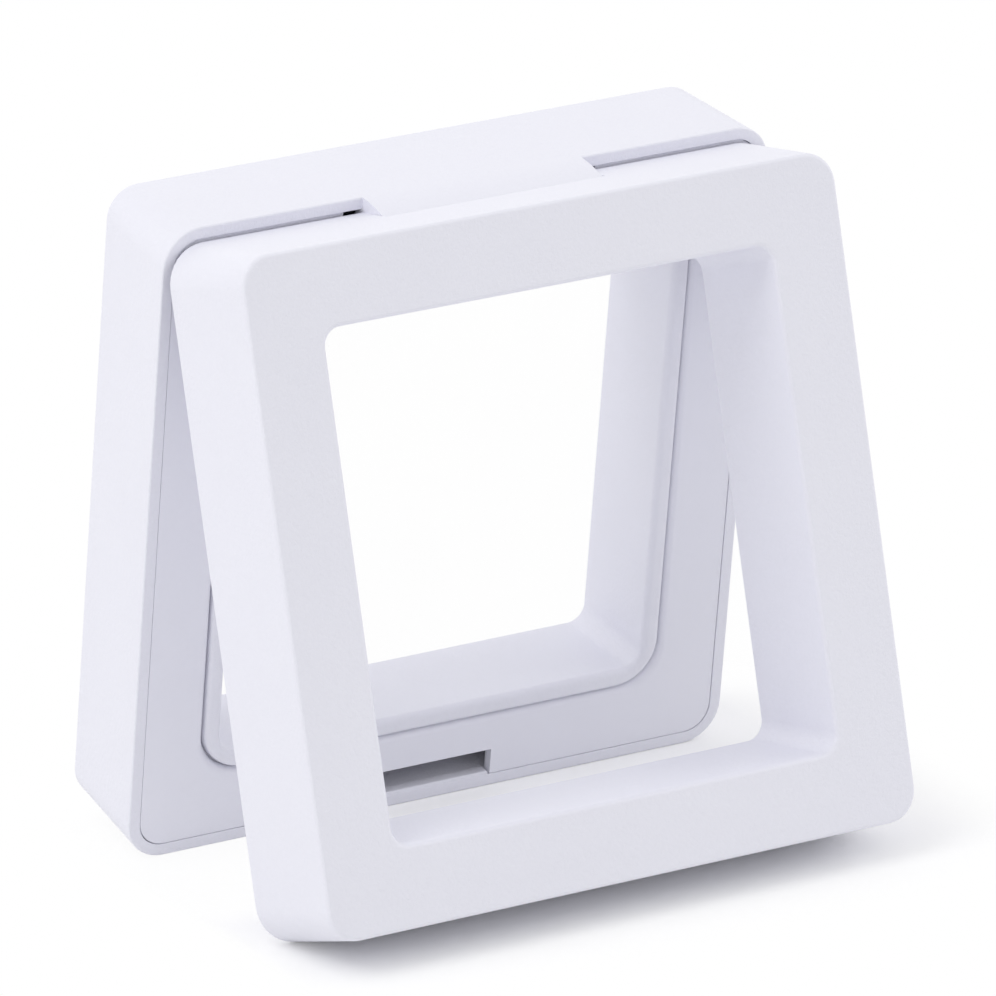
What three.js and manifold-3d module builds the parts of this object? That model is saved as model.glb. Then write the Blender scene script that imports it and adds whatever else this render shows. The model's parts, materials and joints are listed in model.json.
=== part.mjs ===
// A hinged floating display frame: two hollow square rings joined along their top edge, stood open.
// Units are millimetres, +Z is up, X runs along the hinge, and the front half is on the -Y side.
import * as THREE from "three";
import { mergeVertices } from "three/addons/utils/BufferGeometryUtils.js";
import Module from "manifold-3d";

const wasm = await Module();
wasm.setup();

// Driving dimensions of one half, measured from its mating face unless a comment says otherwise.
const frameWidth = 50;
const frameHeight = 50;
const halfDepth = 9.59;
const barWidth = 7.22; // from the outline to the window, at the mating face
const draftInset = 0.7; // how far each wall leans in between the mating face and the outer face
const wall = 0.92;
const rimWidth = 1.2; // of the window wall's edge, beside the film
const faceThickness = 1.2;
const outerRadius = 3.0;
const windowRadius = 2.8; // at the mating face
const windowFaceRadius = 1.2; // at the outer face
const edgeChamfer = 0.25; // round the outer face
const matingChamfer = 0.1; // round the mating face
const cornerSegments = 6;

// The clamp panel that closes each half's channel, and the film over each window.
const panelThickness = 0.8;
const panelSetback = 0.2; // behind the mating face
const panelGap = 0.3;
const ledgeWidth = 0.8;
const filmThickness = 0.1;
const filmGap = 0.3;

// The hinge along the top edge. The pin sits inside the front half.
const matingGap = 0.24; // between the two mating faces when the frame is closed
const pinSetback = 2.912; // from the closing plane forward to the pin
const pinDrop = 1.22; // from the frame's top edge down to the pin
const pinRadius = 0.3;
const pinClearance = 0.1;
const tongueWidth = 18.06;
const tongueRoot = 2.5; // how far the tongue runs back under the rear half's top wall
const tongueGap = 0.25;
const barrelGap = 0.22;
const lugWidth = 1.8;
const lugRadius = 1.2;
const panelNotchMargin = 1.35; // how far the panels' top notch reaches past the tongue on each side
const panelNotchGap = 0.4; // below the tongue
const openAngle = THREE.MathUtils.degToRad(22.72); // between the halves, as they stand

// The latch: a tab on the front panel that enters a slot in the rear panel.
const slotWidth = 10.6;
const slotTop = 2.8; // above the frame's bottom edge
const tabWidth = 9.2;
const tabThickness = 0.9;
const tabDrop = 0.45; // from the slot's top edge down to the tab
const tabReach = 0.9; // past the inside of the rear panel

// Sizes that follow from those above.
const matingY = matingGap / 2;
const centreZ = frameHeight / 2;
const pinZ = frameHeight - pinDrop;
const pinDepth = pinSetback - matingY;
const draftAngle = Math.atan(draftInset / halfDepth);
const topAbovePin = pinDrop - draftInset * pinDepth / halfDepth;
const barrelRadius = topAbovePin * Math.cos(draftAngle);
const rimDrop = filmThickness + filmGap;
const channelDepth = halfDepth - faceThickness;
const panelBack = panelSetback + panelThickness;
const seatDepth = panelBack + panelGap;
const panelInner = barWidth - rimWidth - panelGap;
const past = 1; // how far a cutting solid runs beyond what it cuts

const whitePlastic = { color: 0xe9e9ef, roughness: 0.55, metalness: 0 };
const clearFilm = { color: 0xf4f6fa, roughness: 0.08, metalness: 0, transparent: true, opacity: 0.12 };
const steel = { color: 0xb9bcc2, roughness: 0.3, metalness: 1 };

// A closed geometry as a solid that can be joined and cut.
function solid(geometry) {
  const bare = geometry.clone();
  bare.deleteAttribute("normal");
  bare.deleteAttribute("uv");
  const merged = mergeVertices(bare, 1e-5);
  const vertProperties = new Float32Array(merged.attributes.position.array);
  const triVerts = new Uint32Array(merged.index.array);
  return new wasm.Manifold(new wasm.Mesh({ numProp: 3, vertProperties, triVerts }));
}

// A finished solid as a named mesh with its own material.
function piece(name, body, look) {
  const { vertProperties, triVerts, numProp } = body.getMesh();
  const positions = new Float32Array(vertProperties.length / numProp * 3);
  for (let i = 0; i < positions.length / 3; i += 1) {
    positions.set(vertProperties.subarray(i * numProp, i * numProp + 3), i * 3);
  }
  const geometry = new THREE.BufferGeometry();
  geometry.setAttribute("position", new THREE.BufferAttribute(positions, 3));
  geometry.setIndex(new THREE.BufferAttribute(new Uint32Array(triVerts), 1));
  geometry.computeVertexNormals();
  const mesh = new THREE.Mesh(geometry, new THREE.MeshStandardMaterial(look));
  mesh.name = name;
  return mesh;
}

// A rounded rectangle that lies the given margin inside the frame's outline, as points (x, z).
function outline(margin, radius) {
  const reachX = frameWidth / 2 - margin - radius;
  const reachZ = frameHeight / 2 - margin - radius;
  const corners = [[1, 1], [-1, 1], [-1, -1], [1, -1]];
  return corners.flatMap(([sideX, sideZ], quarter) => {
    const start = quarter * Math.PI / 2;
    const arc = new THREE.EllipseCurve(
      sideX * reachX, centreZ + sideZ * reachZ, radius, radius, start, start + Math.PI / 2);
    return arc.getPoints(cornerSegments);
  });
}

// A closed solid through rounded rectangles at rising depths from the mating face.
function loft(sections) {
  const rings = sections.map(({ margin, radius }) => outline(margin, radius));
  const count = rings[0].length;
  const positions = rings.flatMap((ring, level) =>
    ring.flatMap(({ x, y }) => [x, matingY + sections[level].depth, y]));
  const indices = [];
  for (let level = 0; level + 1 < rings.length; level += 1) {
    for (let i = 0; i < count; i += 1) {
      const near = level * count + i;
      const nearNext = level * count + (i + 1) % count;
      indices.push(near, near + count, nearNext + count);
      indices.push(near, nearNext + count, nearNext);
    }
  }
  const last = (rings.length - 1) * count;
  for (let i = 1; i + 1 < count; i += 1) {
    indices.push(0, i, i + 1);
    indices.push(last, last + i + 1, last + i);
  }
  const geometry = new THREE.BufferGeometry();
  geometry.setAttribute("position", new THREE.Float32BufferAttribute(positions, 3));
  geometry.setIndex(indices);
  return solid(geometry);
}

// A box from its lowest to its highest corner.
function block([x0, y0, z0], [x1, y1, z1]) {
  const box = new THREE.BoxGeometry(x1 - x0, y1 - y0, z1 - z0);
  box.translate((x0 + x1) / 2, (y0 + y1) / 2, (z0 + z1) / 2);
  return solid(box);
}

// A profile drawn in (depth, height) and extruded along X between two ends.
function alongX(profile, x0, x1) {
  const geometry = new THREE.ExtrudeGeometry(profile, {
    depth: x1 - x0, bevelEnabled: false, curveSegments: 2 * cornerSegments,
  });
  const axes = new THREE.Matrix4().makeBasis(
    new THREE.Vector3(0, 1, 0), new THREE.Vector3(0, 0, 1), new THREE.Vector3(1, 0, 0));
  geometry.applyMatrix4(axes);
  geometry.translate(x0, 0, 0);
  return solid(geometry);
}

// A round bar on the hinge line, at the pin's depth on the given side of the closing plane.
function hingeBar(radius, x0, x1, pinY) {
  const circle = new THREE.Shape();
  circle.absarc(pinY, pinZ, radius, 0, 2 * Math.PI);
  return alongX(circle, x0, x1);
}

// How far a wall has leaned in at a depth.
function leanAt(depth) {
  return draftInset * depth / halfDepth;
}

// The window opening's section at a depth.
function windowAt(depth) {
  const share = depth / halfDepth;
  return {
    depth,
    margin: barWidth - leanAt(depth),
    radius: windowRadius + (windowFaceRadius - windowRadius) * share,
  };
}

// A half's moulding without its hinge: a square ring of channel section, open at the mating face.
function channelRing() {
  const body = loft([
    { depth: 0, margin: matingChamfer, radius: outerRadius - matingChamfer },
    { depth: matingChamfer, margin: leanAt(matingChamfer), radius: outerRadius },
    {
      depth: halfDepth - edgeChamfer,
      margin: leanAt(halfDepth - edgeChamfer),
      radius: outerRadius - leanAt(halfDepth - edgeChamfer),
    },
    {
      depth: halfDepth,
      margin: draftInset + edgeChamfer,
      radius: outerRadius - draftInset - edgeChamfer,
    },
  ]);
  const innerEdge = windowAt(halfDepth - edgeChamfer);
  const chamferReach = edgeChamfer + past;
  const windowCut = loft([
    windowAt(-past),
    innerEdge,
    { ...innerEdge, depth: innerEdge.depth + chamferReach, margin: innerEdge.margin - chamferReach },
  ]);
  const channelOuter = loft([
    { depth: -past, margin: wall, radius: outerRadius - wall },
    { depth: 0, margin: wall, radius: outerRadius - wall },
    { depth: channelDepth, margin: wall + leanAt(channelDepth), radius: outerRadius - wall },
  ]);
  const coreAt = (depth, ledge) => ({
    depth,
    margin: barWidth - rimWidth - ledge - leanAt(depth),
    radius: windowRadius + rimWidth + ledge,
  });
  const core = loft([
    { ...coreAt(0, 0), depth: -2 * past },
    coreAt(seatDepth, 0),
    coreAt(seatDepth, ledgeWidth),
    coreAt(channelDepth + past, ledgeWidth),
  ]);
  const rimCut = loft([
    { depth: -past, margin: panelInner, radius: windowRadius + rimWidth },
    { depth: rimDrop, margin: panelInner, radius: windowRadius + rimWidth },
  ]);
  return body.subtract(channelOuter.subtract(core)).subtract(windowCut).subtract(rimCut);
}

// The flat ring that closes a half's channel, notched at the top for the hinge tongue.
function clampPanel() {
  const outerMargin = wall + panelGap;
  const ring = loft([
    { depth: panelSetback, margin: outerMargin, radius: outerRadius - outerMargin },
    { depth: panelBack, margin: outerMargin, radius: outerRadius - outerMargin },
  ]);
  const opening = { margin: panelInner, radius: windowRadius + rimWidth + panelGap };
  const hole = loft([
    { ...opening, depth: -past },
    { ...opening, depth: panelBack + past },
  ]);
  const notchHalf = tongueWidth / 2 + panelNotchMargin;
  const notchFloor = pinZ - barrelRadius - panelNotchGap;
  const notch = block(
    [-notchHalf, matingY - past, notchFloor],
    [notchHalf, matingY + panelBack + past, frameHeight]);
  return ring.subtract(hole).subtract(notch);
}

// The clear film over a half's window, lying on the rim of the window wall.
function film() {
  const edge = { margin: barWidth - rimWidth, radius: windowRadius + rimWidth };
  return loft([{ ...edge, depth: 0 }, { ...edge, depth: filmThickness }]);
}

// The rear half's hinge tongue: its top continues the closed frame's outline to the round barrel.
function hingeTongue() {
  const pinY = -pinSetback;
  const profile = new THREE.Shape();
  profile.moveTo(tongueRoot, pinZ - barrelRadius);
  profile.lineTo(tongueRoot, frameHeight - wall / 2);
  profile.lineTo(matingY + matingChamfer, frameHeight - leanAt(matingChamfer));
  profile.lineTo(matingY, frameHeight);
  profile.lineTo(-matingY, frameHeight);
  const topAngle = Math.PI / 2 + draftAngle;
  profile.absarc(pinY, pinZ, barrelRadius, topAngle, 3 * Math.PI / 2, false);
  profile.closePath();
  const half = tongueWidth / 2;
  const bore = hingeBar(pinRadius + pinClearance, -half - past, half + past, pinY);
  return alongX(profile, -half, half).subtract(bore);
}

// What the tongue and its barrel sweep clear of in the front half, seen with depth to the outside.
function tongueClearance() {
  const half = tongueWidth / 2 + tongueGap;
  const slot = block(
    [-half, matingY - past, pinZ - barrelRadius - barrelGap],
    [half, pinSetback, frameHeight + past]);
  return slot.add(hingeBar(barrelRadius + barrelGap, -half, half, pinSetback));
}

// The two lugs under the front half's top wall that hold the pin's ends.
function hingeLugs() {
  const inner = tongueWidth / 2 + tongueGap;
  const bore = hingeBar(pinRadius + pinClearance, -frameWidth, frameWidth, pinSetback);
  const lug = (x0, x1) => {
    const web = block(
      [x0, pinSetback - lugRadius, pinZ],
      [x1, pinSetback + lugRadius, frameHeight - wall / 2 - leanAt(pinDepth + lugRadius)]);
    return hingeBar(lugRadius, x0, x1, pinSetback).add(web);
  };
  return lug(inner, inner + lugWidth).add(lug(-inner - lugWidth, -inner)).subtract(bore);
}

// The front panel's latch tab, which stands out of the mating face and enters the rear panel's slot.
function latchTab() {
  const top = slotTop - tabDrop;
  const tip = -matingY - panelBack - tabReach;
  return block(
    [-tabWidth / 2, tip, top - tabThickness],
    [tabWidth / 2, matingY + panelBack, top]);
}

const lugReach = tongueWidth / 2 + tongueGap + lugWidth;
const lugBody = hingeLugs().intersect(loft([
  { depth: 0, margin: edgeChamfer, radius: outerRadius },
  { depth: halfDepth, margin: draftInset + edgeChamfer, radius: outerRadius },
]));
const bareRing = channelRing();
const pinBore = hingeBar(pinRadius + pinClearance, -lugReach, lugReach, pinSetback);
const slotCut = block(
  [-slotWidth / 2, matingY - past, 0],
  [slotWidth / 2, matingY + panelBack + past, slotTop]);

const frontShell = bareRing.subtract(tongueClearance()).subtract(pinBore).add(lugBody);
const rearShell = bareRing.add(hingeTongue());

// Each half stands on the edge of its mating face, so the lean follows from the hinge and the opening.
const footDepth = matingY + matingChamfer;
const rearArm = Math.hypot(pinSetback + footDepth, pinZ);
const rearBearing = openAngle + Math.atan2(pinSetback + footDepth, pinZ);
const frontLean = Math.atan2(
  pinZ - rearArm * Math.cos(rearBearing),
  rearArm * Math.sin(rearBearing) - (pinSetback - footDepth));
const rearLean = openAngle - frontLean;
const footLift = leanAt(matingChamfer);

// Turns a half about the hinge line, which lies at the given height over the origin.
function hang(half, angle, height) {
  half.rotation.x = angle;
  const pin = new THREE.Vector3(0, -pinSetback, pinZ).applyEuler(half.rotation);
  half.position.set(0, -pin.y, height - pin.z);
}

const hingeHeight = (pinSetback - footDepth) * Math.sin(frontLean)
  + (pinZ - footLift) * Math.cos(frontLean);

const rearHalf = new THREE.Group();
rearHalf.add(piece("rear_shell", rearShell, whitePlastic));
rearHalf.add(piece("rear_clamp_panel", clampPanel().subtract(slotCut), whitePlastic));
rearHalf.add(piece("rear_film", film(), clearFilm));
hang(rearHalf, rearLean, hingeHeight);

// The front half is drawn with depth to the outside like the rear one, then turned to face it.
const frontParts = new THREE.Group();
frontParts.rotation.z = Math.PI;
frontParts.add(piece("front_shell", frontShell, whitePlastic));
frontParts.add(piece("front_clamp_panel", clampPanel().add(latchTab()), whitePlastic));
frontParts.add(piece("front_film", film(), clearFilm));
const pinHalf = lugReach - pinClearance;
frontParts.add(piece("hinge_pin", hingeBar(pinRadius, -pinHalf, pinHalf, pinSetback), steel));
const frontHalf = new THREE.Group();
frontHalf.add(frontParts);
hang(frontHalf, -frontLean, hingeHeight);

// The origin lies on the floor under the middle of the standing frame.
const displayFrame = new THREE.Group();
displayFrame.add(rearHalf, frontHalf);
displayFrame.updateMatrixWorld(true);
const bounds = new THREE.Box3().setFromObject(displayFrame, true);
displayFrame.position.set(0, -(bounds.min.y + bounds.max.y) / 2, -bounds.min.z);

export default displayFrame;
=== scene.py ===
"""A white hinged display frame, stood open on a white table.

Each half is a moulded channel ring with a thin inner panel and a clear film; a tongue and a pin join them.
Sizes of the pieces are in millimetres, on each half's own upright axes: the closing plane is y 0, and depth
runs to +y. The table, the lamps and the camera are placed in metres.
"""
import json
import math

import bmesh
import bpy
from mathutils import Matrix, Quaternion, Vector


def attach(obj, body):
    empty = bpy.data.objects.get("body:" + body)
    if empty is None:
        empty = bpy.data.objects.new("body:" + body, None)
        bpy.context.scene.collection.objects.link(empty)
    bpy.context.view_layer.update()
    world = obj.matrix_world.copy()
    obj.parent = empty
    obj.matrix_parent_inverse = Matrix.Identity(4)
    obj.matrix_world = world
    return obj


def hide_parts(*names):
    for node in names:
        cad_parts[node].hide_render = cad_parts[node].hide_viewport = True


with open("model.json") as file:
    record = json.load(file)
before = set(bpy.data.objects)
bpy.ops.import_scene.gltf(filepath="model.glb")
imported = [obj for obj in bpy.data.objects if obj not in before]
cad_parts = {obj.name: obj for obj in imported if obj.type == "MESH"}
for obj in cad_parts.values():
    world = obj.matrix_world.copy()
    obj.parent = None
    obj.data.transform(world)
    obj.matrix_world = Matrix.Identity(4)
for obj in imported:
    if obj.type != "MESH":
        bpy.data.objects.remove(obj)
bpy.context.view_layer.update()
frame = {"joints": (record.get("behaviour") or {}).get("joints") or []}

MM = 0.001
QUARTER_TURN = math.pi / 2
HALF_TURN = math.pi

# How the meshes are made
TOUCH = 0.001 * MM  # how near a point is to a plane that it lies on
MERGED = 0.0005 * MM  # points closer than this, left by cuts, become one
LEVEL = 0.01  # how near a point is to the level that it is picked by
PAST = 1.0  # how far a cutting block reaches past what it cuts
THROUGH = 3.0  # how deep a block goes that cuts right through a panel
STACK_STEP = 20.0  # outlines are stacked this far apart to be bridged, and then slid to their depths
CORNER_STEPS = 10
EDGE_STEPS = 4
SMALL_STEPS = 3
FLAT_ANGLE = math.radians(0.3)
SMOOTH_ANGLE = math.radians(28)

# One half's moulding: its widths are measured in from the outline
SIDE = 50.0
CENTRE_Z = SIDE / 2
MATING_Y = 0.12
DEPTH = 9.59
DRAFT = 0.7
WALL = 0.92
FACE_THICKNESS = 1.2
FACE_BAR = 6.6
BAR = 7.3
RIM_WIDTH = 1.35
RIM_SETBACK = 0.03
LEDGE_WIDTH = 0.8
LEDGE_GAP = 0.1
OUTER_CORNER = 3.0
WINDOW_CORNER = 1.4
RIM_CORNER = 3.4
LEDGE_CORNER = 3.9
FLOOR_CORNER = 1.6
MOUTH_CORNER = 2.0
MATING_ROUND = 0.16
FACE_ROUND = 0.32
FACE_WINDOW_ROUND = 0.4
WINDOW_ROUND = 0.5
RIM_ROUND = 0.3
MOUTH_ROUND = 0.05

# The inner panel
PANEL_OUTER = 0.965
PANEL_INNER = 5.835
PANEL_SETBACK = 0.05
PANEL_THICKNESS = 0.8
PANEL_CORNER = 3.25
PANEL_ROUND = 0.7
PARTING_ROUND = 0.04
RELIEF_WIDTH = 2.2
RELIEF_DEPTH = 0.16
NOTCH_HALF = 10.4
NOTCH_UNDER = 0.4

# The clear film
FILM_GAP = 0.03
FILM_CORNER = 3.32
FILM_TUCK = 0.55
FILM_ROUND = 0.08
FILM_THICKNESS = 0.02

# The latch
SLOT_HALF = 5.3
SLOT_TOP = 2.97
SILL_HALF = 5.15
SILL_RISE = 0.28
SILL_ROUND = 0.14
SILL_SETBACK = 0.02
SILL_DEPTH = 1.0
TAB_HALF = 4.6
TAB_THICKNESS = 0.9
TAB_REACH = 1.8
TAB_ROOT = 0.5
TAB_GAP = 0.45
TAB_ROUND = 0.2

# The hinge
PIN_Y = 2.912
PIN_Z = 48.78
PIN_RADIUS = 0.3
PIN_HALF = 11.05
PIN_ROUND = 0.08
PIN_GAP = 0.1
PIN_SEAT_GAP = 0.02
PIN_STEPS = 32
BARREL = 1.0135
BARREL_GAP = 0.22
BARREL_STEPS = 64
TONGUE_HALF = 9.03
TONGUE_CREST = 0.8
TONGUE_ROUND = 0.9
TONGUE_STEPS = 8
TONGUE_REACH = 0.9  # how far it runs back into the rear half's top wall
TONGUE_PROUD = 0.002  # it stands this far over that wall, so the two faces don't coincide
TONGUE_SINK = 0.01  # its slope meets the barrel this far under the barrel's top
TONGUE_GAP = 0.02
TONGUE_END = 0.04
TONGUE_UNDER = 0.2
LUG_RADIUS = 1.2
LUG_WIDTH = 1.8
LUG_STEPS = 48
REAR_LEAN = math.radians(8.018526)
FRONT_LEAN = math.radians(14.701474)

# The materials: the real size of one mark of each pattern, and colours
CLOUD = 9.0
SMEAR = 6.0
STREAK_LENGTH = 4.0
STREAK_WIDTH = 0.08
EQUAL_SHARE = 0.5  # cloud and grain count alike in the white plastic's colour
STEEL = "#C9CBD0"
TABLE_PAINT = "#FAFAFA"
PURE_WHITE = (1, 1, 1, 1)
MIX_FIRST = 6  # a colour mix shares its socket names with its number sockets, so these three go by place
MIX_SECOND = 7
MIX_RESULT = 2

# The table, in metres: where its shadow is kept, where painted light lifts it, and where it goes on pure
# white
TABLE_SIZE = 4.0
SHADOW_CENTRE = (0.003, 0.0, 0.0)
FOOTPRINT = (0.022, 0.0142, 0.0)
WHITE_FROM = 0.012  # this far outside the footprint it is pure white
# Painted light: a plain white glow, seen only by the camera, lifts the table's shadow at the rear half's
# left foot and between the halves
LEFT_FOOT = (-0.008, -0.016)  # across this the painted light that lifts the shadow grows towards the rear half's left foot
LEFT_FOOT_PAINTED_LIGHT = 0.9
BETWEEN_PAINTED_LIGHT = 0.2  # the share of painted light that lifts the shadow between the halves
BEHIND_FRONT = (-0.008, -0.002)  # across this those two shares set in, going back
BESIDE_LEFT = (-0.0235, -0.0265)  # across this it turns pure white, left of the frame
TABLE_SEEN = (1.04, 1.04, 1.05, 1.0)  # its paint as the camera sees it, a touch over white

# The light, and the camera's place in metres
ROOM = 0.69  # how strongly the white room lights the frame
LAMP_AIM = Vector((0, 0, 0.02))
AZIMUTH = math.radians(-30.714)
ELEVATION = math.radians(19.404)
ROLL = math.radians(-0.198)
DISTANCE = 0.7996
TARGET = Vector((0.000332, -0.000228, 0.026122))
SENSOR = 36.0
LENS = 404.25


def lean(depth):
    """How far a wall has leaned in at a depth."""
    return DRAFT * depth / DEPTH


def start(add, **settings):
    """Adds a primitive as the only selected object, its place in its mesh, and opens it for shaping."""
    bpy.ops.object.select_all(action="DESELECT")
    add(**settings)
    bpy.ops.object.transform_apply(location=True, rotation=True, scale=True)
    bpy.ops.object.mode_set(mode="EDIT")
    return bpy.context.object


def close(piece, name):
    """Leaves edit mode and names the piece."""
    bpy.ops.object.mode_set(mode="OBJECT")
    piece.name = name
    piece.data.name = name
    return piece


def pick(piece, kind, test):
    """Selects the edges or faces whose vertices all pass the test."""
    bpy.ops.mesh.select_all(action="DESELECT")
    bpy.ops.mesh.select_mode(type=kind)
    mesh = bmesh.from_edit_mesh(piece.data)
    for item in {"EDGE": mesh.edges, "FACE": mesh.faces}[kind]:
        item.select_set(all(test(v) for v in item.verts))
    bmesh.update_edit_mesh(piece.data)


def choose(piece):
    """Makes a piece the only selected object, and the active one."""
    bpy.ops.object.select_all(action="DESELECT")
    bpy.context.view_layer.objects.active = piece
    piece.select_set(True)


def finish_with(piece, kind, **settings):
    """Adds a modifier with its settings and applies it."""
    choose(piece)
    bpy.ops.object.modifier_add(type=kind)
    modifier = piece.modifiers[-1]
    for key, value in settings.items():
        setattr(modifier, key, value)
    bpy.ops.object.modifier_apply(modifier=modifier.name)


def combine(piece, other, how):
    """Joins another solid to a piece, or cuts the piece with it, and removes the other."""
    finish_with(piece, "BOOLEAN", operation=how, solver="EXACT", object=other)
    bpy.data.objects.remove(other)


def ring(name, section):
    """A closed ring bridged through rounded squares (margin, depth, corner radius, edge round)."""
    piece = None
    for turn, (margin, _, radius, _) in enumerate(section):
        square = {
            "size": (SIDE - 2 * margin) * MM,
            "location": (0, turn * STACK_STEP * MM, CENTRE_Z * MM),
            "rotation": (QUARTER_TURN, 0, 0),
        }
        if piece is None:
            piece = start(bpy.ops.mesh.primitive_plane_add, **square)
        else:
            bpy.ops.mesh.primitive_plane_add(**square)
        bpy.ops.mesh.bevel(offset=radius * MM, segments=CORNER_STEPS, affect="VERTICES")
        bpy.ops.mesh.delete(type="ONLY_FACE")
    count = 4 * (CORNER_STEPS + 1)  # points in one outline, with its four corners
    turns = len(section)
    for first in range(turns):
        pair = (first, (first + 1) % turns)
        pick(piece, "EDGE", lambda v: v.index // count in pair)
        bpy.ops.mesh.bridge_edge_loops()
    widest = max(edge for *_, edge in section)
    for turn, (_, depth, _, edge) in enumerate(section):
        pick(piece, "EDGE", lambda v: v.index // count == turn)
        bpy.ops.transform.translate(value=(0, (MATING_Y + depth - turn * STACK_STEP) * MM, 0))
        bpy.ops.transform.edge_bevelweight(value=edge / widest)
    bpy.ops.mesh.select_all(action="SELECT")
    bpy.ops.mesh.normals_make_consistent(inside=False)
    close(piece, name)
    finish_with(
        piece, "BEVEL", limit_method="WEIGHT", width=widest * MM, segments=EDGE_STEPS,
        use_clamp_overlap=False)
    return piece


def slab(low, high, *cuts):
    """A block between two corners, trimmed by planes (point, outward normal)."""
    middle = [(a + b) / 2 * MM for a, b in zip(low, high)]
    sizes = [(b - a) * MM for a, b in zip(low, high)]
    block = start(bpy.ops.mesh.primitive_cube_add, size=1, location=middle, scale=sizes)
    for point, normal in cuts:
        bpy.ops.mesh.select_all(action="SELECT")
        bpy.ops.mesh.bisect(
            plane_co=[v * MM for v in point], plane_no=normal, use_fill=True, clear_outer=True)
    return close(block, "slab")


def rod(radius, x0, x1, y, z, steps, edge=0.0):
    """A round bar along the hinge, its ends rounded over if an edge is given."""
    bar = start(
        bpy.ops.mesh.primitive_cylinder_add, vertices=steps, radius=radius * MM, depth=(x1 - x0) * MM,
        location=((x0 + x1) / 2 * MM, y * MM, z * MM), rotation=(0, QUARTER_TURN, 0))
    if edge:
        for end in (x0, x1):
            pick(bar, "EDGE", lambda v: abs(v.co.x - end * MM) < TOUCH)
            bpy.ops.mesh.bevel(offset=edge * MM, segments=SMALL_STEPS, affect="EDGES")
    return close(bar, "rod")


def shell(name):
    """The channel ring that both halves share, open at its mating side, with a ledge behind the panel."""
    floor = DEPTH - FACE_THICKNESS
    seat = PANEL_SETBACK + PANEL_THICKNESS + LEDGE_GAP
    rim = BAR - RIM_WIDTH
    ledge = rim - LEDGE_WIDTH
    return ring(name, [
        (0, 0, OUTER_CORNER, MATING_ROUND),
        (DRAFT, DEPTH, OUTER_CORNER - DRAFT, FACE_ROUND),
        (FACE_BAR, DEPTH, WINDOW_CORNER, FACE_WINDOW_ROUND),
        (BAR - lean(RIM_SETBACK), RIM_SETBACK, WINDOW_CORNER, WINDOW_ROUND),
        (rim, RIM_SETBACK, RIM_CORNER, RIM_ROUND),
        (rim - lean(seat), seat, RIM_CORNER, 0),
        (ledge - lean(seat), seat, LEDGE_CORNER, 0),
        (ledge - lean(floor), floor, LEDGE_CORNER, 0),
        (WALL + lean(floor), floor, FLOOR_CORNER, 0),
        (WALL, 0, MOUTH_CORNER, MOUTH_ROUND),
    ])


def panel(name):
    """The thin ring that closes a half's channel, notched at the hinge and eased along its top edge."""
    back = PANEL_SETBACK + PANEL_THICKNESS
    piece = ring(name, [
        (PANEL_OUTER, PANEL_SETBACK, OUTER_CORNER - PANEL_OUTER, PARTING_ROUND),
        (PANEL_OUTER, back, OUTER_CORNER - PANEL_OUTER, 0),
        (PANEL_INNER, back, PANEL_CORNER, 0),
        (PANEL_INNER, PANEL_SETBACK, PANEL_CORNER, PANEL_ROUND),
    ])
    notch = slab((-NOTCH_HALF, -PAST, PIN_Z - BARREL - NOTCH_UNDER), (NOTCH_HALF, THROUGH, SIDE + PAST))
    combine(piece, notch, "DIFFERENCE")
    step = MATING_Y + PANEL_SETBACK + RELIEF_DEPTH
    relief = slab((-SIDE / 2, -PAST, SIDE - RELIEF_WIDTH), (SIDE / 2, step, SIDE + PAST))
    combine(piece, relief, "DIFFERENCE")
    return piece


def film(name):
    """The clear film: flat over the rim, its edge folded down into the groove."""
    margin = BAR - RIM_WIDTH - FILM_GAP
    sheet = start(
        bpy.ops.mesh.primitive_plane_add, size=(SIDE - 2 * margin) * MM,
        location=(0, (MATING_Y + FILM_TUCK) * MM, CENTRE_Z * MM), rotation=(QUARTER_TURN, 0, 0))
    bpy.ops.mesh.bevel(offset=FILM_CORNER * MM, segments=CORNER_STEPS, affect="VERTICES")
    bpy.ops.mesh.extrude_region_move(TRANSFORM_OT_translate={"value": (0, -FILM_TUCK * MM, 0)})
    bpy.ops.mesh.select_mode(type="EDGE")
    bpy.ops.mesh.region_to_loop()
    bpy.ops.mesh.bevel(offset=FILM_ROUND * MM, segments=SMALL_STEPS, affect="EDGES")
    pick(sheet, "FACE", lambda v: v.co.y > (MATING_Y + FILM_TUCK - LEVEL) * MM)
    bpy.ops.mesh.delete(type="FACE")
    bpy.ops.mesh.select_all(action="SELECT")
    bpy.ops.mesh.normals_make_consistent(inside=False)
    close(sheet, name)
    finish_with(sheet, "SOLIDIFY", thickness=FILM_THICKNESS * MM, offset=-1)
    sheet.visible_shadow = False
    sheet.visible_diffuse = False
    return sheet


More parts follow.
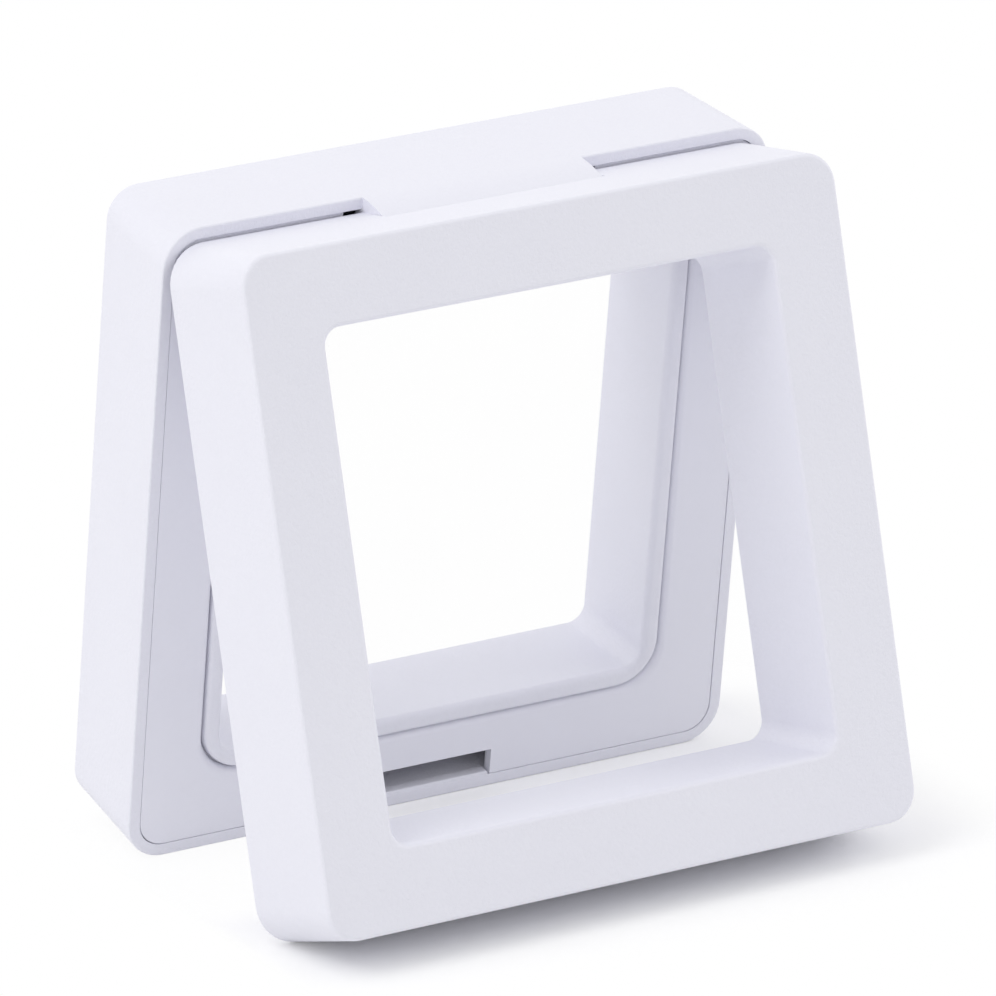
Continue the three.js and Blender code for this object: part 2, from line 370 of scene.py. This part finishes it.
def hinge_tongue():
    """The bored barrel and the tongue that carries it: level, rolled over, then falling to the barrel."""
    slope = math.atan(DRAFT / DEPTH)
    crest = SIDE + TONGUE_PROUD + lean(TONGUE_CREST + MATING_Y)
    fall = math.atan((crest - PIN_Z - BARREL + TONGUE_SINK) / (PIN_Y - TONGUE_CREST))
    tongue = slab(
        (-TONGUE_HALF, -PIN_Y, PIN_Z - BARREL + TONGUE_UNDER),
        (TONGUE_HALF, MATING_Y + TONGUE_REACH, SIDE + PAST),
        ((0, -TONGUE_CREST, crest), (0, math.sin(slope), math.cos(slope))),
        ((0, -TONGUE_CREST, crest), (0, -math.sin(fall), math.cos(fall))))
    bpy.ops.object.mode_set(mode="EDIT")
    pick(tongue, "EDGE", lambda v: v.co.z > (crest - LEVEL) * MM)
    bpy.ops.mesh.bevel(offset=TONGUE_ROUND * MM, segments=TONGUE_STEPS, affect="EDGES")
    close(tongue, "tongue")
    combine(tongue, rod(BARREL, -TONGUE_HALF, TONGUE_HALF, -PIN_Y, PIN_Z, BARREL_STEPS), "UNION")
    bpy.ops.object.mode_set(mode="EDIT")
    bpy.ops.mesh.select_all(action="SELECT")
    bpy.ops.mesh.dissolve_limited(angle_limit=FLAT_ANGLE)
    for end in (-TONGUE_HALF, TONGUE_HALF):
        pick(tongue, "EDGE", lambda v: abs(v.co.x - end * MM) < TOUCH)
        bpy.ops.mesh.bevel(
            offset=TONGUE_END * MM, segments=SMALL_STEPS, affect="EDGES", clamp_overlap=False)
    close(tongue, "tongue")
    past = TONGUE_HALF + PAST
    combine(tongue, rod(PIN_RADIUS + PIN_GAP, -past, past, -PIN_Y, PIN_Z, PIN_STEPS), "DIFFERENCE")
    return tongue


def rear_shell():
    """The rear ring with the hinge tongue on its top wall and a sill under the latch slot."""
    piece = shell("rear_shell_moulding")
    combine(piece, hinge_tongue(), "UNION")
    sill = slab(
        (-SILL_HALF, MATING_Y + SILL_SETBACK, WALL / 2),
        (SILL_HALF, MATING_Y + SILL_DEPTH, WALL + SILL_RISE))
    finish_with(sill, "BEVEL", limit_method="ANGLE", width=SILL_ROUND * MM, segments=SMALL_STEPS)
    combine(piece, sill, "UNION")
    return piece


def front_shell():
    """The front ring, its top wall notched for the tongue, with a bored lug at each end of the barrel."""
    piece = shell("front_shell_moulding")
    half = TONGUE_HALF + TONGUE_GAP
    clear = BARREL + BARREL_GAP
    notch = slab((-half, -PAST, PIN_Z - clear), (half, PIN_Y, SIDE + PAST))
    combine(notch, rod(clear, -half, half, PIN_Y, PIN_Z, BARREL_STEPS), "UNION")
    combine(piece, notch, "DIFFERENCE")
    top = SIDE - WALL / 2 - lean(PIN_Y + LUG_RADIUS)
    for side in (-1, 1):
        left, right = sorted((side * half, side * (half + LUG_WIDTH)))
        lug = rod(LUG_RADIUS, left, right, PIN_Y, PIN_Z, LUG_STEPS)
        web = slab((left, PIN_Y - LUG_RADIUS, PIN_Z), (right, PIN_Y + LUG_RADIUS, top))
        combine(lug, web, "UNION")
        outside = slab((left - PAST, -PAST, top), (right + PAST, DEPTH, SIDE + PAST))
        combine(lug, outside, "DIFFERENCE")
        seat = rod(PIN_RADIUS + PIN_SEAT_GAP, left - PAST, right + PAST, PIN_Y, PIN_Z, PIN_STEPS)
        combine(lug, seat, "DIFFERENCE")
        combine(piece, lug, "UNION")
    return piece


def rear_panel():
    """The rear panel with the latch slot in its lower edge."""
    piece = panel("rear_inner_panel")
    combine(piece, slab((-SLOT_HALF, -PAST, -PAST), (SLOT_HALF, THROUGH, SLOT_TOP)), "DIFFERENCE")
    return piece


def front_panel():
    """The front panel with the latch tab that enters the rear slot."""
    piece = panel("front_inner_panel")
    top = SLOT_TOP - TAB_GAP
    tab = slab(
        (-TAB_HALF, -TAB_REACH, top - TAB_THICKNESS), (TAB_HALF, MATING_Y + PANEL_SETBACK + TAB_ROOT, top))
    finish_with(tab, "BEVEL", limit_method="ANGLE", width=TAB_ROUND * MM, segments=SMALL_STEPS)
    combine(piece, tab, "UNION")
    return piece


def hang(piece, body, node):
    """Turns a finished half piece about the pin to where its half stands, and binds it to the frame."""
    hinge = Vector(frame["joints"][0]["pos_m"])
    to_pin = Matrix.Translation(-Vector((0, -PIN_Y * MM, PIN_Z * MM)))
    if body == "rear_half":
        turn = Matrix.Rotation(REAR_LEAN, 4, "X") @ to_pin
    else:
        turn = Matrix.Rotation(-FRONT_LEAN, 4, "X") @ to_pin @ Matrix.Rotation(HALF_TURN, 4, "Z")
    choose(piece)
    bpy.ops.object.mode_set(mode="EDIT")
    bpy.ops.mesh.select_all(action="SELECT")
    bpy.ops.mesh.remove_doubles(threshold=MERGED)
    bpy.ops.mesh.dissolve_degenerate(threshold=MERGED)
    bpy.ops.object.mode_set(mode="OBJECT")
    piece.matrix_world = Matrix.Translation(hinge) @ turn
    bpy.ops.object.transform_apply(location=True, rotation=True, scale=True)
    bpy.ops.object.shade_smooth_by_angle(angle=SMOOTH_ANGLE)
    finish_with(piece, "WEIGHTED_NORMAL", keep_sharp=True)
    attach(piece, body)
    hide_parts(node)


def linear(colour):
    """An sRGB hex colour as linear values, by the curve in the sRGB standard."""
    parts = [int(colour[i:i + 2], 16) / 255 for i in (1, 3, 5)]
    return [c / 12.92 if c <= 0.04045 else ((c + 0.055) / 1.055) ** 2.4 for c in parts] + [1.0]


def add_node(tree, kind, values=(), links=(), **settings):
    """A shader node with its settings, socket values and links."""
    made = tree.nodes.new(kind)
    for key, value in settings.items():
        setattr(made, key, value)
    for socket, value in values:
        made.inputs[socket].default_value = value
    for socket, source in links:
        tree.links.new(source, made.inputs[socket])
    return made


def blank(name):
    """An empty material, its tree and its output."""
    material = bpy.data.materials.new(name)
    material.use_nodes = True
    material.node_tree.nodes.clear()
    return material, material.node_tree, material.node_tree.nodes.new("ShaderNodeOutputMaterial")


def moulded_white(name, light, shade, roughness, grain, relief):
    """White ABS from a spark-eroded mould: an even cool white, a broad soft gloss and a fine grain.

    The grain and its relief are in millimetres.
    """
    material, tree, output = blank(name)
    place = add_node(tree, "ShaderNodeTexCoord")
    speckle = add_node(
        tree, "ShaderNodeTexNoise", [("Scale", 1 / (grain * MM)), ("Detail", 2.0), ("Roughness", 0.6)],
        [("Vector", place.outputs["Object"])])
    cloud = add_node(
        tree, "ShaderNodeTexNoise", [("Scale", 1 / (CLOUD * MM)), ("Detail", 2.0)],
        [("Vector", place.outputs["Object"])])
    tone = add_node(
        tree, "ShaderNodeMath", [(1, EQUAL_SHARE)], [(0, cloud.outputs["Fac"])], operation="MULTIPLY")
    mixed = add_node(
        tree, "ShaderNodeMath", [(1, EQUAL_SHARE)], [(0, speckle.outputs["Fac"]), (2, tone.outputs[0])],
        operation="MULTIPLY_ADD")
    colour = add_node(
        tree, "ShaderNodeMix", [(MIX_FIRST, linear(shade)), (MIX_SECOND, linear(light))],
        [("Factor", mixed.outputs[0])], data_type="RGBA")
    bump = add_node(
        tree, "ShaderNodeBump", [("Strength", 0.5), ("Distance", relief * MM)],
        [("Height", speckle.outputs["Fac"])])
    surface = add_node(
        tree, "ShaderNodeBsdfPrincipled", [("Roughness", roughness), ("IOR", 1.53)],
        [("Base Color", colour.outputs[MIX_RESULT]), ("Normal", bump.outputs["Normal"])])
    tree.links.new(surface.outputs["BSDF"], output.inputs["Surface"])
    return material


def clear_film():
    """Stretched polyurethane film: all but invisible, with a faint gloss that faint smears break up."""
    material, tree, output = blank("clear_stretched_polyurethane_film")
    place = add_node(tree, "ShaderNodeTexCoord")
    smear = add_node(
        tree, "ShaderNodeTexNoise", [("Scale", 1 / (SMEAR * MM)), ("Detail", 3.0)],
        [("Vector", place.outputs["Object"])])
    share = add_node(
        tree, "ShaderNodeMapRange", [("To Min", 0.0), ("To Max", 0.012)], [("Value", smear.outputs["Fac"])])
    through = add_node(tree, "ShaderNodeBsdfTransparent", [("Color", PURE_WHITE)])
    gloss = add_node(tree, "ShaderNodeBsdfGlossy", [("Roughness", 0.12)])
    both = add_node(
        tree, "ShaderNodeMixShader", (),
        [(0, share.outputs["Result"]), (1, through.outputs[0]), (2, gloss.outputs[0])])
    tree.links.new(both.outputs[0], output.inputs["Surface"])
    return material


def drawn_steel():
    """Drawn steel wire for the pin: bright, with fine streaks along it that vary its gloss."""
    material, tree, output = blank("drawn_steel_wire")
    place = add_node(tree, "ShaderNodeTexCoord")
    across = 1 / (STREAK_WIDTH * MM)
    streak = add_node(
        tree, "ShaderNodeMapping", [("Scale", (1 / (STREAK_LENGTH * MM), across, across))],
        [("Vector", place.outputs["Object"])])
    lines = add_node(tree, "ShaderNodeTexNoise", [("Scale", 1.0)], [("Vector", streak.outputs["Vector"])])
    rough = add_node(
        tree, "ShaderNodeMapRange", [("To Min", 0.22), ("To Max", 0.38)], [("Value", lines.outputs["Fac"])])
    surface = add_node(
        tree, "ShaderNodeBsdfPrincipled", [("Base Color", linear(STEEL)), ("Metallic", 1.0)],
        [("Roughness", rough.outputs["Result"])])
    tree.links.new(surface.outputs["BSDF"], output.inputs["Surface"])
    return material


def in_view(tree):
    """1 for what the camera sees, straight, in a gloss or through a clear piece, and 0 for other light."""
    path = add_node(tree, "ShaderNodeLightPath")
    straight = add_node(
        tree, "ShaderNodeMath", (),
        [(0, path.outputs["Is Camera Ray"]), (1, path.outputs["Is Glossy Ray"])], operation="MAXIMUM")
    seen = add_node(
        tree, "ShaderNodeMath", (),
        [(0, straight.outputs[0]), (1, path.outputs["Is Transmission Ray"])], operation="MAXIMUM")
    return seen.outputs[0]


def dress(piece, material):
    """Gives a piece its one material."""
    piece.data.materials.clear()
    piece.data.materials.append(material)


def table_top():
    """A white table that keeps the frame's soft shadow, lifts it with painted light between the halves and
    at the rear half's left foot, and goes on pure white a little way off.
    """
    bpy.ops.object.select_all(action="DESELECT")
    bpy.ops.mesh.primitive_plane_add(size=TABLE_SIZE, location=(0, 0, 0))
    top = bpy.context.object
    top.name = "table_top"
    material, tree, output = blank("white_table")
    seen = in_view(tree)
    place = add_node(tree, "ShaderNodeTexCoord")
    # How far a spot lies outside the footprint
    centred = add_node(
        tree, "ShaderNodeVectorMath", [(1, SHADOW_CENTRE)], [(0, place.outputs["Object"])],
        operation="SUBTRACT")
    reach = add_node(
        tree, "ShaderNodeVectorMath", (), [(0, centred.outputs[0])], operation="ABSOLUTE")
    past = add_node(
        tree, "ShaderNodeVectorMath", [(1, FOOTPRINT)], [(0, reach.outputs[0])], operation="SUBTRACT")
    outside = add_node(
        tree, "ShaderNodeVectorMath", [(1, (0, 0, 0))], [(0, past.outputs[0])], operation="MAXIMUM")
    off = add_node(tree, "ShaderNodeVectorMath", (), [(0, outside.outputs[0])], operation="LENGTH")
    fade = add_node(
        tree, "ShaderNodeMapRange", [("From Max", WHITE_FROM)], [("Value", off.outputs["Value"])],
        interpolation_type="SMOOTHSTEP")
    # Painted light that lifts the shadow between the halves and at the rear half's left foot, and the pure
    # white beside the frame
    axes = add_node(tree, "ShaderNodeSeparateXYZ", (), [(0, place.outputs["Object"])])
    to_left = add_node(
        tree, "ShaderNodeMapRange",
        [("From Min", LEFT_FOOT[0]), ("From Max", LEFT_FOOT[1]),
         ("To Min", BETWEEN_PAINTED_LIGHT), ("To Max", LEFT_FOOT_PAINTED_LIGHT)],
        [("Value", axes.outputs["X"])], interpolation_type="SMOOTHSTEP")
    behind = add_node(
        tree, "ShaderNodeMapRange", [("From Min", BEHIND_FRONT[0]), ("From Max", BEHIND_FRONT[1])],
        [("Value", axes.outputs["Y"])], interpolation_type="SMOOTHSTEP")
    foot = add_node(
        tree, "ShaderNodeMath", (), [(0, to_left.outputs[0]), (1, behind.outputs[0])], operation="MULTIPLY")
    beside = add_node(
        tree, "ShaderNodeMapRange", [("From Min", BESIDE_LEFT[0]), ("From Max", BESIDE_LEFT[1])],
        [("Value", axes.outputs["X"])], interpolation_type="SMOOTHSTEP")
    left = add_node(
        tree, "ShaderNodeMath", (), [(0, foot.outputs[0]), (1, beside.outputs[0])], operation="MAXIMUM")
    white = add_node(
        tree, "ShaderNodeMath", (), [(0, left.outputs[0]), (1, fade.outputs[0])], operation="MAXIMUM")
    share = add_node(
        tree, "ShaderNodeMath", (), [(0, seen), (1, white.outputs[0])], operation="MULTIPLY")
    paint = add_node(
        tree, "ShaderNodeMix", [(MIX_FIRST, linear(TABLE_PAINT)), (MIX_SECOND, TABLE_SEEN)],
        [("Factor", seen)], data_type="RGBA")
    lit = add_node(tree, "ShaderNodeBsdfDiffuse", (), [("Color", paint.outputs[MIX_RESULT])])
    # The glow is plain white: the backdrop away from the frame, and painted light where it lifts the shadow
    # near the frame
    glow = add_node(tree, "ShaderNodeEmission", [("Color", PURE_WHITE), ("Strength", 1.0)])
    both = add_node(
        tree, "ShaderNodeMixShader", (),
        [(0, share.outputs[0]), (1, lit.outputs[0]), (2, glow.outputs[0])])
    tree.links.new(both.outputs[0], output.inputs["Surface"])
    dress(top, material)


def softbox(name, place, size, watts):
    """A square soft lamp that looks at the frame."""
    bpy.ops.object.light_add(type="AREA", location=place)
    lamp = bpy.context.object
    lamp.name = name
    lamp.data.shape = "SQUARE"
    lamp.data.size = size
    lamp.data.energy = watts
    lamp.rotation_euler = (LAMP_AIM - Vector(place)).to_track_quat("-Z", "Y").to_euler()


def studio():
    """A white room: plain white where the camera looks, and a little dimmer as light."""
    world = bpy.data.worlds.new("studio")
    bpy.context.scene.world = world
    world.use_nodes = True
    tree = world.node_tree
    tree.nodes.clear()
    level = add_node(
        tree, "ShaderNodeMapRange", [("To Min", ROOM), ("To Max", 1.0)], [("Value", in_view(tree))])
    room = add_node(
        tree, "ShaderNodeBackground", [("Color", PURE_WHITE)], [("Strength", level.outputs[0])])
    add_node(tree, "ShaderNodeOutputWorld", (), [("Surface", room.outputs[0])])


def viewpoint():
    """The camera, to the left and above, far off with a long lens, as the frame was pictured."""
    bpy.ops.object.camera_add()
    camera = bpy.context.object
    level = math.cos(ELEVATION)
    away = Vector((math.sin(AZIMUTH) * level, -math.cos(AZIMUTH) * level, math.sin(ELEVATION)))
    camera.location = TARGET + away * DISTANCE
    aim = (-away).to_track_quat("-Z", "Y") @ Quaternion((0, 0, 1), ROLL)
    camera.rotation_euler = aim.to_euler()
    camera.data.sensor_width = SENSOR
    camera.data.lens = LENS
    camera.data.clip_start = 0.01
    camera.data.clip_end = 10.0
    bpy.context.scene.camera = camera


bpy.ops.object.select_all(action="DESELECT")

shell_plastic = moulded_white(
    "white_abs_spark_eroded", "#F0F0F9", "#EAEAF4", roughness=0.5, grain=0.3, relief=0.08)
panel_plastic = moulded_white(
    "white_abs_satin", "#F0F0F9", "#EBEBF5", roughness=0.42, grain=0.4, relief=0.02)
film_look = clear_film()

for make, body, node, slot, look in (
        (rear_shell, "rear_half", "rear_shell", "shell_plastic", shell_plastic),
        (rear_panel, "rear_half", "rear_clamp_panel", "panel_plastic", panel_plastic),
        (lambda: film("rear_film_sheet"), "rear_half", "rear_film", "clear_film", film_look),
        (front_shell, "front_half", "front_shell", "shell_plastic", shell_plastic),
        (front_panel, "front_half", "front_clamp_panel", "panel_plastic", panel_plastic),
        (lambda: film("front_film_sheet"), "front_half", "front_film", "clear_film", film_look)):
    made = make()
    dress(made, look)
    hang(made, body, node)

wire = rod(PIN_RADIUS, -PIN_HALF, PIN_HALF, PIN_Y, PIN_Z, PIN_STEPS, PIN_ROUND)
close(wire, "hinge_wire")
dress(wire, drawn_steel())
hang(wire, "front_half", "hinge_pin")

table_top()
softbox("left_softbox", (-0.6, 0.1, 0.35), size=0.5, watts=0.234)
softbox("high_left_softbox", (-0.45, 0.0, 0.65), size=0.5, watts=1.56)
softbox("back_softbox", (0.1, 0.8, 0.4), size=0.6, watts=0.575)
softbox("right_softbox", (0.7, -0.1, 0.35), size=0.5, watts=1.2)
studio()
viewpoint()

bpy.context.scene.view_settings.view_transform = "Standard"
